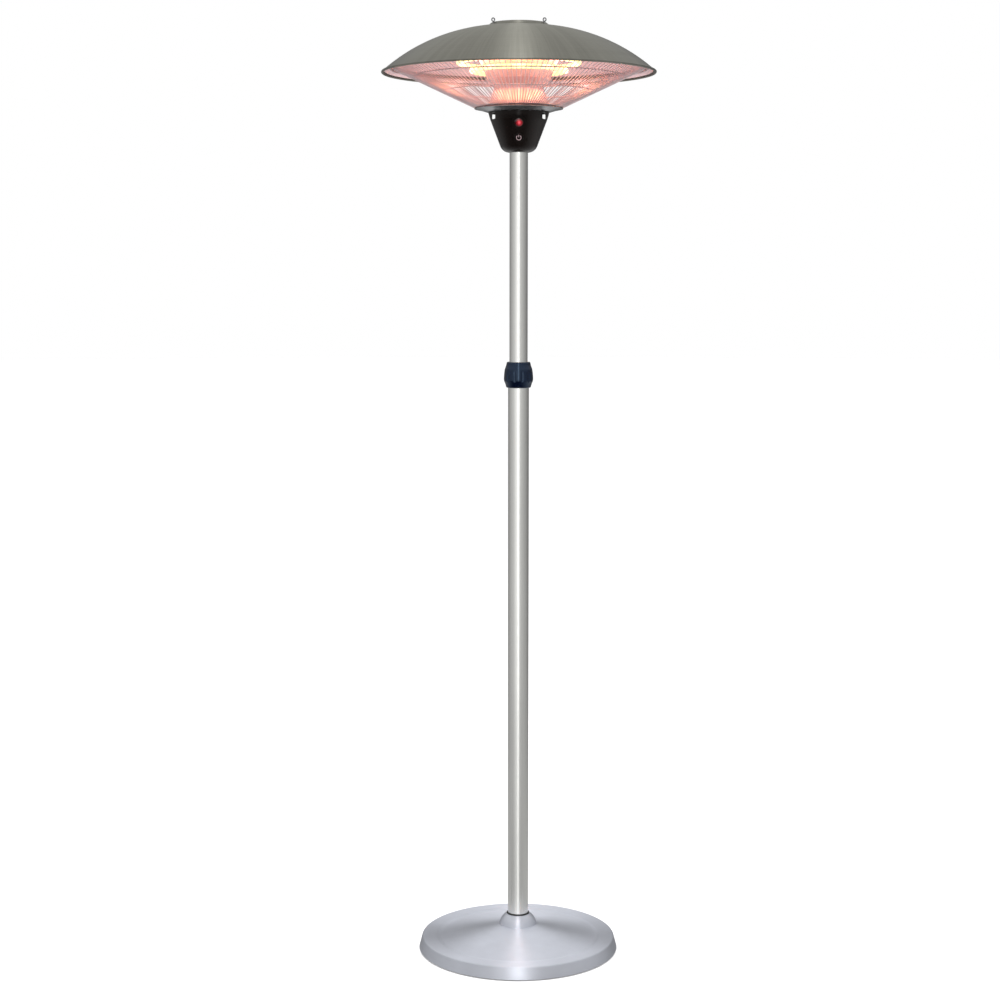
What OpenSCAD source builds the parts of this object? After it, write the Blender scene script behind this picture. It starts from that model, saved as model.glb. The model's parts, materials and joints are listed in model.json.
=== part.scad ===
// Free-standing electric patio heater: a weighted round base, a two-part telescopic pole with a
// twist lock, a conical control housing, and a round heat shade over two ring lamps with a wire guard.
// Millimetres. The origin is on the floor, under the pole's axis. +Z is up and the controls face -Y.

/* [Overall] */
// Height above the floor of the head's datum plane, just below the control housing
head_z = 1782; // [1776:1:1790]
// Diameter of the heat shade over its rolled rim
shade_d = 595; // [590:1:600]
// Diameter of the base cover at the floor
base_d = 448; // [444:1:452]

/* [Base] */
// Height of the rubber feet under the base
foot_h = 4; // [3.5:0.5:5]
// Number of rubber feet
foot_count = 6; // [4:1:8]
// Height of the flat ring around the edge of the cover
base_ring_z = 30; // [29:0.5:31]
// Sheet thickness of the spun covers
sheet_t = 1; // [0.8:0.1:1.2]
// Radius of the hub where it meets the sloping plate
hub_r = 42; // [40:0.5:43]

/* [Pole] */
// Outer diameter of the fixed lower tube
pole_d = 46; // [45.5:0.1:46.5]
// Outer diameter of the sliding upper tube
mast_d = 40; // [39.5:0.1:40]
// Wall of both tubes
tube_t = 1.2; // [1.1:0.1:1.3]
// Height of the lower tube's top end
pole_top_z = 1291; // [1288:1:1294]
// Length of the upper tube inside the lower one at rest
mast_overlap = 161; // [150:1:170]
// Upward travel left before the two guides meet
lift_left = 30; // [25:1:40]
// Radial running clearance of the guides
run_gap = 0.05; // [0.03:0.01:0.08]

/* [Lock collar] */
// Height of the collar's lower edge
collar_z = 1273.5; // [1273:0.5:1274]
// Height of the collar
collar_h = 56.3; // [56:0.1:57]
// Largest radius of the collar
collar_r = 32.2; // [31.8:0.1:32.6]
// Number of oval flutes around the collar
flute_count = 12; // [10:1:14]

/* [Control housing] */
// Height of the housing's top rim above the head's datum plane
housing_h = 88.3; // [88.3:0.1:88.5]
// Radius of the housing at its top rim
housing_top_r = 68; // [67.5:0.5:68]
// Radius that the housing's cone would have at the head's datum plane
housing_foot_r = 34.3; // [34:0.1:34.6]
// Wall of the housing
housing_t = 2.5; // [2.3:0.1:2.6]
// Height of the power button's centre in the housing
button_h = 31.5; // [31:0.5:33]
// Height of the receiver window's centre in the housing
window_h = 62.5; // [61:0.5:64]
// Travel of the power button
button_travel = 1.5; // [1:0.1:1.6]

/* [Guard and lamps] */
// Number of radial wires in the guard
wire_count = 144; // [120:4:144]
// Diameter of a radial wire
wire_d = 1.8; // [1.6:0.1:2]
// Slope of the guard above the horizontal, in degrees
guard_angle = 25.16; // [25:0.01:25.3]
// Radius of the upper lamp ring
upper_lamp_r = 130; // [129:0.5:131]
// Radius of the lower lamp ring
lower_lamp_r = 101.6; // [101:0.1:102]
// Outer diameter of a lamp tube
lamp_d = 10; // [9:0.5:10]

/* [Shade] */
// Radius of the arc that the shade is spun to
shade_arc_r = 393.9; // [390:0.1:400]
// Height of the shade's crown plate above the head's datum plane
crown_h = 269.5; // [269:0.5:270]
// Radius of the crown plate
crown_r = 70; // [69:0.5:71]
// Number of hanging eyelets
eyelet_count = 3; // [3:1:4]

/* [Hidden] */
$fn = 96;

// A cut goes this far past the face that it opens
past = 1;
// Gap between pieces that rest on each other without a fit
seat = 0.02;

// ---- Outlines ----
function unit(v) = v / norm(v);
function left_of(a, b) = let (d = unit(b - a)) [-d[1], d[0]];
function before(p, i) = i == 0 ? left_of(p[0], p[1]) : left_of(p[i - 1], p[i]);
function after(p, i) = i == len(p) - 1 ? left_of(p[i - 1], p[i]) : left_of(p[i], p[i + 1]);
// The outline p moved to its left by t, with mitred corners
function inset(p, t) = [
    for (i = [0 : len(p) - 1])
        let (a = before(p, i), b = after(p, i))
            p[i] + t * (a + b) / (1 + a * b)
];
function reversed(p) = [for (i = [len(p) - 1 : -1 : 0]) p[i]];
function arc(centre, r, from, to, steps) = [
    for (i = [0 : steps])
        let (a = from + (to - from) * i / steps)
            centre + r * [cos(a), sin(a)]
];

// ---- Shared shapes ----
// A sheet spun round the Z axis: outline p, thickness t to its left
module spun(p, t) {
    rotate_extrude() polygon(concat(p, reversed(inset(p, t))));
}

module pipe(r_out, r_in, z0, z1) {
    translate([0, 0, z0]) difference() {
        cylinder(r = r_out, h = z1 - z0);
        translate([0, 0, -past]) cylinder(r = r_in, h = z1 - z0 + 2 * past);
    }
}

module wire_ring(r, wire_r, z) {
    translate([0, 0, z]) rotate_extrude() translate([r, 0]) circle(r = wire_r, $fn = 24);
}

module around(n, r, start = 0) {
    for (i = [0 : n - 1])
        rotate([0, 0, start + i * 360 / n]) translate([r, 0, 0]) children();
}

// A screw that points down from z = 0: head above, shank below, cross recess in the head
module screw(shank_r, length, head_r, head_h) {
    recess = head_r * 0.28;
    difference() {
        union() {
            cylinder(r = head_r, h = head_h);
            translate([0, 0, -length]) cylinder(r = shank_r, h = length);
        }
        for (a = [0, 90])
            rotate([0, 0, a]) translate([0, 0, head_h])
                cube([head_r * 1.3, recess, head_h], center = true);
    }
}

module hex_nut(across, bore_r, h) {
    difference() {
        cylinder(d = across * 2 / sqrt(3), h = h, $fn = 6);
        translate([0, 0, -past]) cylinder(r = bore_r, h = h + 2 * past);
    }
}

// ---- Base ----
base_r = base_d / 2;
pole_r = pole_d / 2;
mast_r = mast_d / 2;
cover_gap = 3;
wall_lean = 6;
edge_r = 4.5;
ring_r = base_r - wall_lean - edge_r;
ring_in_r = 184;
valley_r = 20;
valley_depth = 1.6;
valley_c = [ring_in_r - 8, base_ring_z - valley_depth + valley_r];
valley_edge = acos((valley_r - valley_depth) / valley_r);
hub_foot_z = 55;
hub_arc_r = 31.2;
hub_centre = [hub_r - 31, hub_foot_z - 3.5];
neck_angle = 64;
plate_t = 1.5;
plate_r = base_r - 6;
plate_screw_r = 170;
plate_screw_n = 6;
plate_screw_l = 12;
plate_screw_hole_r = 2.15;
foot_r = 14;
foot_ring_r = 195;
weight_z = foot_h + plate_t;
socket_z = 24;
socket_r = 38;
socket_flange_t = 5;
spigot_top_z = 70;
bolt_r = 6;
bolt_head_h = 5.5;
washer_t = 2;
counterbore_r = 20;
bolt_seat_z = weight_z + 10;
washer_z = bolt_seat_z - washer_t;
bolt_head_z = washer_z - bolt_head_h;
slide_fit = 0.03;

cover_outline = concat(
    [[base_r, cover_gap]],
    arc([ring_r, base_ring_z - edge_r], edge_r, 12, 90, 6),
    arc(valley_c, valley_r, valley_edge - 90, -101, 6),
    arc(hub_centre, hub_arc_r, 6.4, neck_angle, 10)
);

module base_cover() {
    color("lightsteelblue") spun(cover_outline, sheet_t);
}

module base_weight() {
    color("darkgray") difference() {
        rotate_extrude() polygon([
            [bolt_r + 0.5, bolt_seat_z], [counterbore_r, bolt_seat_z], [counterbore_r, weight_z],
            [base_r - 10, weight_z], [ring_r - 1, base_ring_z - 5], [ring_in_r - 4, base_ring_z - 8],
            [socket_r + 4, hub_foot_z - 8], [socket_r + 1, hub_foot_z - 8],
            [socket_r + 1, socket_z], [bolt_r + 0.5, socket_z]
        ]);
        around(plate_screw_n, plate_screw_r)
            translate([0, 0, weight_z - past]) cylinder(r = plate_screw_hole_r, h = plate_screw_l + past);
    }
}

module base_bottom_plate() {
    color("dimgray") difference() {
        pipe(plate_r, counterbore_r, foot_h, foot_h + plate_t);
        around(plate_screw_n, plate_screw_r)
            translate([0, 0, foot_h - past]) cylinder(r = plate_screw_hole_r, h = plate_t + 2 * past);
    }
}

module base_feet() {
    color("black") around(foot_count, foot_ring_r, 30) cylinder(r1 = foot_r - 1, r2 = foot_r, h = foot_h);
}

module base_plate_screws() {
    color("silver") around(plate_screw_n, plate_screw_r)
        translate([0, 0, foot_h]) mirror([0, 0, 1]) screw(2.1, plate_screw_l, 4, 2);
}

module pole_socket() {
    color("gray") difference() {
        union() {
            translate([0, 0, socket_z]) cylinder(r = socket_r, h = socket_flange_t);
            translate([0, 0, socket_z])
                cylinder(r = pole_r - tube_t - slide_fit, h = spigot_top_z - socket_z);
        }
        translate([0, 0, socket_z - past]) cylinder(r = bolt_r + slide_fit, h = spigot_top_z);
    }
}

module pole_bolt() {
    color("silver") {
        translate([0, 0, bolt_head_z]) cylinder(d = 21, h = bolt_head_h, $fn = 6);
        translate([0, 0, bolt_head_z]) cylinder(r = bolt_r, h = spigot_top_z - bolt_head_z - 10);
    }
}

module pole_washer() {
    color("silver") pipe(13, bolt_r + 0.2, washer_z, bolt_seat_z);
}

neck = cover_outline[len(cover_outline) - 1];

module pole_seal_ring() {
    color("black") rotate_extrude() polygon([
        [pole_r + slide_fit, neck[1] + 0.1], [neck[0] + 1, neck[1] + 0.1],
        [neck[0] + 0.6, neck[1] + 2], [pole_r + slide_fit, neck[1] + 3.2]
    ]);
}

// ---- Pole and twist lock ----
guide_r = pole_r - tube_t - run_gap;
mast_in_r = mast_r - tube_t;
mast_foot_z = pole_top_z - mast_overlap;
lip_t = 5;
bush_h = 30;
plug_head_h = 4;
circlip_t = 1.2;
circlip_groove = 0.5;
upper_bush_z = mast_foot_z + bush_h + 2 * circlip_t + lift_left;
collet_z = pole_top_z - 14;
collet_top_z = collar_z + collar_h - 8;
collet_r = 24.4;
slit_w = 2.5;
collar_gap = 0.4;

module lower_tube() {
    color("silver") pipe(pole_r, pole_r - tube_t, socket_z + socket_flange_t, pole_top_z);
}

module upper_guide_bush() {
    color("whitesmoke") pipe(pole_r - tube_t - slide_fit, mast_r + run_gap, upper_bush_z, pole_top_z);
}

// The sleeve grips the lower tube's end and its slit fingers close on the upper tube
module collet_sleeve() {
    color("dimgray") difference() {
        union() {
            pipe(collet_r + 1, pole_r + slide_fit, collet_z, pole_top_z);
            pipe(collet_r + 1, mast_r + run_gap, pole_top_z, pole_top_z + 4);
            pipe(collet_r, mast_r + run_gap, pole_top_z + 4, collet_top_z);
        }
        for (a = [0 : 60 : 120])
            rotate([0, 0, a]) translate([-collet_r - past, -slit_w / 2, pole_top_z + 8])
                cube([2 * (collet_r + past), slit_w, collar_h]);
    }
}

collar_outline = [
    [26.4, 0], [27.3, 2], [28.4, 6], [30.2, 11], [31.7, 15], [32.2, 20], [32, 25], [31.6, 30],
    [31.1, 35.5], [30.2, 40.5], [28.7, 44.8], [27.5, 48.5], [26.7, 51.5], [26.2, 54], [25, 56.3]
];
collar_scale = [collar_r / 32.2, collar_h / 56.3];
flute_cut_r = 5.2;
flute_depth = 1.6;
collar_bore_r = collet_r + 1 + collar_gap;

// The flutes are as deep as the barrel's bulge, so that each one fades out in an oval
module lock_collar() {
    color("midnightblue") translate([0, 0, collar_z]) intersection() {
        rotate_extrude() polygon(concat(
            [for (p = collar_outline) [p[0] * collar_scale[0], p[1] * collar_scale[1]]],
            [[mast_r + 0.6, collar_h], [mast_r + 0.6, collar_h - 4], [collar_bore_r, collar_h - 7],
             [collar_bore_r, 3], [pole_r + 0.6, 3], [pole_r + 0.6, 0]]
        ));
        translate([0, 0, -past]) linear_extrude(collar_h + 2 * past) difference() {
            circle(r = collar_r + past);
            around(flute_count, collar_r + flute_cut_r - flute_depth, 180 / flute_count)
                circle(r = flute_cut_r);
        }
    }
}

module lower_guide_bush() {
    color("whitesmoke") pipe(guide_r, mast_r + run_gap, mast_foot_z - lip_t + seat, mast_foot_z + bush_h);
}

module upper_tube() {
    groove_z = mast_foot_z + bush_h + 0.1;
    color("silver") difference() {
        pipe(mast_r, mast_in_r, mast_foot_z, head_z + 20);
        pipe(mast_r + past, mast_r - circlip_groove, groove_z, groove_z + circlip_t + 0.1);
    }
}

// The plug closes the tube's foot, and its head holds the guide bush from below
module mast_end_plug() {
    color("dimgray") difference() {
        union() {
            translate([0, 0, mast_foot_z - lip_t - plug_head_h])
                cylinder(r = guide_r - 0.8, h = plug_head_h);
            translate([0, 0, mast_foot_z - lip_t - seat]) cylinder(r = mast_r, h = lip_t);
            translate([0, 0, mast_foot_z - lip_t]) cylinder(r = mast_in_r - slide_fit, h = lip_t + 22);
        }
        translate([0, 0, mast_foot_z - 20]) cylinder(r = 8, h = 60);
    }
}

module guide_circlip() {
    groove_z = mast_foot_z + bush_h + 0.1;
    color("gray") difference() {
        translate([0, 0, groove_z + 0.05])
            pipe(guide_r - 0.5, mast_r - circlip_groove + slide_fit, 0, circlip_t);
        translate([0, -1.5, groove_z - past]) cube([pole_r, 3, 4]);
    }
}

// ---- Head: frame inside the control housing ----
// Everything from here up is modelled above the head's datum plane
module head() {
    translate([0, 0, head_z]) children();
}

rod_n = 3;
rod_start = 90;
rod_ring_r = 26;
rod_r = 2.5;
spacer_r = 4;
bracket_h0 = 9.5;
bracket_h1 = 20;
bracket_mid_h = (bracket_h0 + bracket_h1) / 2;
bracket_r = 32;
carrier_h = 48;
carrier_t = 1.5;
carrier_r = 34;
pan_h = housing_h + 0.2;
pan_t = 1;
rod_nut_h = 4;

module head_bracket() {
    color("gray") head() difference() {
        pipe(bracket_r, mast_r + slide_fit, bracket_h0, bracket_h1);
        around(rod_n, rod_ring_r, rod_start)
            translate([0, 0, bracket_h0 - past]) cylinder(r = rod_r + slide_fit, h = bracket_h1);
        around(rod_n, 0, rod_start + 60)
            translate([0, 0, bracket_mid_h]) rotate([0, 90, 0]) cylinder(r = 2.53, h = bracket_r + past);
    }
}

module bracket_screws() {
    color("silver") head() around(rod_n, mast_r + 0.05, rod_start + 60)
        translate([0, 0, bracket_mid_h]) rotate([0, 90, 0]) cylinder(r = 2.5, h = bracket_r - mast_r - 0.5);
}

module tie_rods() {
    foot_h0 = bracket_h0 + 2;
    color("silver") head() around(rod_n, rod_ring_r, rod_start)
        translate([0, 0, foot_h0]) cylinder(r = rod_r, h = pan_h + pan_t + rod_nut_h + 1 - foot_h0);
}

module rod_spacers() {
    color("lightgray") head() around(rod_n, rod_ring_r, rod_start) {
        pipe(spacer_r, rod_r + 0.1, bracket_h1, carrier_h);
        pipe(spacer_r, rod_r + 0.1, carrier_h + carrier_t, pan_h);
    }
}

module tie_rod_nuts() {
    color("silver") head() around(rod_n, rod_ring_r, rod_start)
        translate([0, 0, pan_h + pan_t]) hex_nut(8, rod_r + slide_fit, rod_nut_h);
}

module carrier_plate() {
    flat_y = 27;
    color("silver") head() difference() {
        translate([0, 0, carrier_h]) cylinder(r = carrier_r, h = carrier_t);
        around(rod_n, rod_ring_r, rod_start)
            translate([0, 0, carrier_h - past]) cylinder(r = rod_r + 0.1, h = carrier_t + 2 * past);
        translate([-carrier_r, -carrier_r - flat_y, carrier_h - past])
            cube([2 * carrier_r, carrier_r, carrier_t + 2 * past]);
        translate([0, 18, carrier_h - past]) cylinder(r = 5, h = carrier_t + 2 * past);
    }
}

// ---- Head: control housing ----
wall_angle = atan((housing_top_r - housing_foot_r) / housing_h);
corner_r = 21;
cup_h0 = 2.2;
corner_c = [
    housing_r(cup_h0 + corner_r) - corner_r / cos(wall_angle),
    cup_h0 + corner_r
];
housing_outline = concat(
    [[mast_r + 0.5, cup_h0]],
    arc(corner_c, corner_r, -90, -wall_angle, 8),
    [[housing_r(72), 72], [housing_r(80) - 0.6, 80], [housing_top_r - 1.5, housing_h]]
);
vent_x = 54.4;
vent_w = 7;
vent_h = 14.2;
vent_mid_h = 79.2;
vent_corner_r = 2;
button_r = 10.5;
button_hole_r = 10.9;
window_r = 10.5;
window_half = 0.5;
bezel_r = 15.8;
board_depth = 16;
board_t = 1.6;
board_w = 40;
board_low = 30;
board_high = 32;
board_h = 50;
board_post_r = 3;
board_post_x = 16;
flange_in_r = 57;
flange_t = 3;
flange_screw_r = 60.5;
flange_screw_start = 70;
gland_h = 30;
gland_bore_r = 4.5;
gland_thread_r = 7.9;
pad_r = 14;
locknut_room_r = 12.7;
pad_y0 = 42;
pad_y1 = 50.5;

function housing_r(h) = housing_foot_r + tan(wall_angle) * h;
// A flat frame on the front of the housing at height h: +Z points out of the wall, +Y up it
module front_frame(h) {
    translate([0, -housing_r(h), h]) rotate([90 + wall_angle, 0, 0]) children();
}

// An upright slot with round corners that runs out along +X
module round_slot(w, h, r, length) {
    translate([0, -w / 2, -h / 2 + r]) cube([length, w, h - 2 * r]);
    translate([0, -w / 2 + r, -h / 2]) cube([length, w - 2 * r, h]);
    for (y = [-1, 1], z = [-1, 1])
        translate([0, y * (w / 2 - r), z * (h / 2 - r)]) rotate([0, 90, 0]) cylinder(r = r, h = length);
}

// The oval of the receiver window, drawn out to the size of radius r
module oval(r, h) {
    for (x = [-window_half, window_half])
        translate([x, 0, 0]) cylinder(r = r, h = h);
    translate([-window_half, -r, 0]) cube([2 * window_half, 2 * r, h]);
}

module board_points() {
    for (x = [-board_post_x, board_post_x], y = [-board_low + 4, board_high - 4])
        translate([x, y, 0]) children();
}

module control_housing() {
    color("black") head() difference() {
        union() {
            spun(housing_outline, housing_t);
            pipe(housing_r(housing_h - flange_t) - 2, flange_in_r, housing_h - flange_t, housing_h);
            translate([0, pad_y0, gland_h]) rotate([-90, 0, 0]) cylinder(r = pad_r, h = pad_y1 - pad_y0);
            front_frame(board_h) board_points()
                translate([0, 0, -board_depth]) cylinder(r = board_post_r, h = board_depth - housing_t);
        }
        translate([0, 0, housing_h]) cylinder(r = housing_top_r + past, h = 2 * housing_t);
        for (x = [-vent_x, vent_x])
            translate([x, -housing_top_r, vent_mid_h]) rotate([0, 0, 90])
                round_slot(vent_w, vent_h, vent_corner_r, 2 * housing_top_r);
        front_frame(button_h) translate([0, 0, -8]) cylinder(r = button_hole_r, h = 20);
        front_frame(window_h) translate([0, 0, -8]) oval(window_r - 1, 20);
        front_frame(board_h) board_points()
            translate([0, 0, -board_depth - past]) cylinder(r = 1.2, h = 9);
        translate([0, pad_y0 - past, gland_h]) rotate([-90, 0, 0])
            cylinder(r = gland_thread_r + 0.1, h = 20);
        translate([0, 20, gland_h]) rotate([-90, 0, 0]) cylinder(r = locknut_room_r, h = pad_y0 - 20);
        around(rod_n, flange_screw_r, flange_screw_start)
            translate([0, 0, housing_h - flange_t - past]) cylinder(r = 1.55, h = flange_t + 2 * past);
    }
}

module housing_screws() {
    color("silver") head() around(rod_n, flange_screw_r, flange_screw_start)
        translate([0, 0, pan_h + pan_t]) screw(1.5, 8, 2.8, 1.8);
}

// The bezel is a raised oval frame that stands on the wall around the window
module window_bezel() {
    bezel_back = 4;
    bezel_front = 1.2;
    bezel_proud = 3;
    color("black") head() intersection() {
        front_frame(window_h) difference() {
            translate([0, 0, -bezel_back]) oval(bezel_r, bezel_back + bezel_front);
            translate([0, 0, -bezel_back - past]) oval(window_r - 0.9, bezel_back + bezel_front + 2 * past);
        }
        spun([for (p = housing_outline) p + [bezel_proud, 0]], bezel_proud * cos(wall_angle) - 0.05);
    }
}

module receiver_window() {
    color("darkred") head() front_frame(window_h) difference() {
        translate([0, 0, -2]) oval(window_r - 1.1, 3.6);
        translate([0, 0, -2 - past]) oval(window_r - 3, 2 + past);
    }
}

module status_led() {
    led_r = 2.5;
    led_base = board_depth - 0.02;
    color("red") head() front_frame(board_h)
        translate([0, (window_h - board_h) / cos(wall_angle), -led_base]) {
            cylinder(r = led_r, h = 7);
            translate([0, 0, 7]) sphere(r = led_r);
        }
}

module control_board() {
    color("darkgreen") head() front_frame(board_h) difference() {
        translate([-board_w / 2, -board_low, -board_depth - board_t])
            cube([board_w, board_low + board_high, board_t]);
        board_points() translate([0, 0, -board_depth - board_t - past]) cylinder(r = 1.3, h = 4);
    }
}

module board_screws() {
    color("silver") head() front_frame(board_h) board_points()
        translate([0, 0, -board_depth - board_t]) mirror([0, 0, 1]) screw(1.1, 6, 2.4, 1.6);
}

module relays() {
    relay = [12, 18, 13];
    color("royalblue") head() front_frame(board_h)
        for (x = [-13, 1])
            translate([x, 8, -board_depth - board_t - relay[2]]) cube(relay);
}

switch_y = (button_h - board_h) / cos(wall_angle);
switch_top = 4.4;

module power_switch() {
    color("dimgray") head() front_frame(board_h) translate([0, switch_y, -board_depth]) {
        translate([-4, -4, 0]) cube([8, 8, switch_top - 0.8]);
        cylinder(r = 1.75, h = switch_top);
    }
}

cap_front = 1;
cap_back = 4.4;
tab_w = 5;
stem_r = 3;
switch_gap = 0.3;

module power_button() {
    stem = board_depth - switch_top - button_travel - switch_gap - cap_back;
    color("black") head() front_frame(button_h) {
        translate([0, 0, -cap_back]) rotate_extrude() polygon(concat(
            [[0, 0], [button_r, 0]],
            arc([button_r - 1, cap_back + cap_front - 1], 1, 0, 90, 4),
            [[0, cap_back + cap_front]]
        ));
        translate([-tab_w / 2, -button_r - 2, -cap_back]) cube([tab_w, 2 * (button_r + 2), 1.5]);
        translate([0, 0, -cap_back - stem]) cylinder(r = stem_r, h = stem + 1);
    }
}

symbol_r = 5.1;
symbol_w = 1.2;
symbol_gap = 70;
symbol_t = 0.25;

module power_symbol() {
    color("mistyrose") head() front_frame(button_h) translate([0, 0, cap_front + 0.005]) {
        rotate([0, 0, 90 + symbol_gap / 2]) rotate_extrude(angle = 360 - symbol_gap)
            translate([symbol_r - symbol_w / 2, 0]) square([symbol_w, symbol_t]);
        translate([-symbol_w / 2, 1, 0]) cube([symbol_w, symbol_r, symbol_t]);
    }
}

carrier_top = carrier_h + carrier_t;

module terminal_block() {
    block = [40, 16, 14];
    well_r = 2.6;
    color("ivory") head() difference() {
        translate([-block[0] / 2, -block[1] / 2, carrier_top]) cube(block);
        lead_points() translate([0, 0, carrier_top + block[2] / 2]) cylinder(r = well_r, h = block[2]);
        lead_points() translate([0, -2 * lead_y, carrier_top + block[2] / 2])
            cylinder(r = well_r, h = block[2]);
        for (y = [-lead_y, lead_y])
            translate([0, y, carrier_top + block[2] / 2]) cylinder(r = well_r, h = block[2]);
    }
}

module tilt_switch() {
    color("orange") head() translate([-18, 18, carrier_top]) {
        cylinder(r = 6, h = 3);
        cylinder(r = 4.5, h = 17);
    }
}

module thermal_cutout() {
    color("tan") head() translate([16, 14, pan_h]) mirror([0, 0, 1]) {
        cylinder(r = 8, h = 3);
        cylinder(r = 6.5, h = 9);
        for (x = [-3.5, 3.5])
            translate([x - 1.5, -0.4, 8]) cube([3, 0.8, 7]);
    }
}

module along_gland(y) {
    head() translate([0, y, gland_h]) rotate([-90, 0, 0]) children();
}

gland_in_y = 36;
gland_hex_t = 4;
gland_nose_y = 62;
gland_end_y = 69;
cap_in_r = 6.9;

module gland_body() {
    color("black") difference() {
        union() {
            along_gland(gland_in_y) cylinder(r = gland_thread_r, h = pad_y1 - gland_in_y + 1);
            along_gland(pad_y1) cylinder(d = 22, h = gland_hex_t, $fn = 6);
            along_gland(pad_y1) cylinder(r = cap_in_r - 0.1, h = gland_nose_y - pad_y1);
        }
        along_gland(gland_in_y - past) cylinder(r = gland_bore_r, h = gland_nose_y - gland_in_y + 2 * past);
    }
}

module gland_cap() {
    cap_h = gland_end_y - pad_y1 - gland_hex_t;
    color("black") difference() {
        along_gland(pad_y1 + gland_hex_t + 0.1) rotate_extrude() polygon(concat(
            [[0, 0], [10, 0], [10, cap_h - 5]],
            arc([6, cap_h - 4.1], 4, 10, 90, 5),
            [[0, cap_h - 0.1]]
        ));
        along_gland(pad_y1) cylinder(r = cap_in_r, h = gland_nose_y - pad_y1 + 0.2);
        along_gland(pad_y1) cylinder(r = gland_bore_r, h = 40);
    }
}

module gland_locknut() {
    color("black") along_gland(pad_y0 - 5.1) hex_nut(21, gland_thread_r + 0.05, 5);
}

// ---- Head: guard ----
pan_floor_r = 70;
pan_knee = [84, pan_h + 4.3];
pan_rim = [95.5, pan_h + 6.9];
pan_bead_r = 0.9;
wire_r = wire_d / 2;
guard_low = [96, 98.03];
band_outer_r = 95.5;
band_t = 1.4;
band_h = [97, 100.8];
guard_top_r = 278.5;
guard_ring_wire_r = 2;
mid_wire_r = 1.5;
guard_dir = [cos(guard_angle), sin(guard_angle)];
guard_out = [guard_dir[1], -guard_dir[0]];
guard_length = (guard_top_r - guard_low[0]) / guard_dir[0];
inner_ring_r = 166;
outer_ring_r = 231;
clip_n = 4;

// A point on the guard's cone at radius r, moved off the cone by d
function on_guard(r, d) =
    guard_low + guard_dir * (r - guard_low[0]) / guard_dir[0] + guard_out * d;

module guard_pan() {
    color("dimgray") head() difference() {
        union() {
            spun([[5, pan_h], [pan_floor_r, pan_h], pan_knee, pan_rim], pan_t);
            wire_ring(pan_rim[0] - 0.2, pan_bead_r, pan_rim[1] + 0.4);
        }
        around(rod_n, rod_ring_r, rod_start)
            translate([0, 0, pan_h - past]) cylinder(r = rod_r + 0.1, h = pan_t + 2 * past);
        around(rod_n, flange_screw_r, flange_screw_start)
            translate([0, 0, pan_h - past]) cylinder(r = 1.6, h = pan_t + 2 * past);
        lead_points() translate([0, 0, pan_h - past]) cylinder(r = lead_r + 0.5, h = pan_t + 2 * past);
    }
}

module guard_wires() {
    color("rosybrown") head() around(wire_count, guard_low[0], 180 / wire_count)
        translate([0, 0, guard_low[1]]) rotate([0, 90 - guard_angle, 0])
            cylinder(r = wire_r, h = guard_length, $fn = 6);
}

// The flat band inside the wires' lower ends
module guard_ring_bottom() {
    color("dimgray") head() pipe(band_outer_r, band_outer_r - band_t, band_h[0], band_h[1]);
}

module guard_ring_inner() {
    p = on_guard(inner_ring_r, -wire_r - mid_wire_r - seat);
    color("dimgray") head() wire_ring(p[0], mid_wire_r, p[1]);
}

module guard_ring_outer() {
    p = on_guard(outer_ring_r, -wire_r - mid_wire_r - seat);
    color("dimgray") head() wire_ring(p[0], mid_wire_r, p[1]);
}

top_ring = on_guard(guard_top_r - 2, wire_r + guard_ring_wire_r + seat);

module guard_ring_top() {
    color("dimgray") head() wire_ring(top_ring[0], guard_ring_wire_r, top_ring[1]);
}

clip_top_h = 184.2;

// Bent straps that reach down from the shade's sheet and hook under the guard's top ring
module guard_clips() {
    hook_in = guard_ring_wire_r + 0.05;
    hook_out = hook_in + 0.9;
    sweep = 2.4;
    color("silver") head() around(clip_n, 0, 45 + 180 / wire_count)
        rotate([0, 0, -sweep / 2]) rotate_extrude(angle = sweep) {
            translate(top_ring) difference() {
                circle(r = hook_out, $fn = 32);
                circle(r = hook_in, $fn = 32);
                translate([-4, 0]) square([8, 4]);
            }
            translate(top_ring + [hook_in, 0]) square([0.9, clip_top_h - top_ring[1]]);
        }
}

// ---- Head: reflectors and lamps ----
reflector_t = 0.8;
lower_outline = [
    [69.6, pan_h + pan_t + 0.1], [69.2, 96], [65, 110], [59, 124], [55, 132], [54, 136.5], [56, 142],
    [62, 150.5], [71, 159]
];
upper_outline = [[69.5, 159.3], [74, 171], [80, 184], [86, 199], [91, 211], [94, 219.8]];
ceiling_h = 220;
ceiling_flat_r = 100;
ceiling_end_r = 272;
ceiling_arc_r = 378.3;
ceiling_arc_c = [120, ceiling_h - ceiling_arc_r];
lead_y = 4;
lamp_h = [194, 177];
lamp_ring_r = [upper_lamp_r, lower_lamp_r];
lamp_r = lamp_d / 2;
lamp_gap_angle = [9, 8];
lead_r = 1.25;
end_cap_l = 9;
end_cap_wall = 1.5;
rod_hole_r = 4.2;

// The leads run out beside each other to the middle of the end caps of lamp i
function lead_x(i) = lamp_ring_r[i] * sin(lamp_gap_angle[i]) - end_cap_l / 2 * cos(lamp_gap_angle[i]);
function lead_end_y(i) =
    (lamp_ring_r[i] - lamp_r - end_cap_wall) * cos(lamp_gap_angle[i])
    + end_cap_l / 2 * sin(lamp_gap_angle[i]) - 0.35;

module lead_points() {
    for (i = [0, 1], side = [-1, 1])
        translate([side * lead_x(i), lead_y, 0]) children();
}

module lead_holes() {
    for (i = [0, 1], x = [-1, 1])
        translate([x * lead_x(i), 40, lamp_h[i]]) rotate([-90, 0, 0]) cylinder(r = 2.2, h = 60);
}

module lower_reflector() {
    color("lightsalmon") head() spun(reversed(lower_outline), -reflector_t);
}

module upper_reflector() {
    color("lightsalmon") head() difference() {
        spun(reversed(upper_outline), -reflector_t);
        lead_holes();
    }
}

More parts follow.
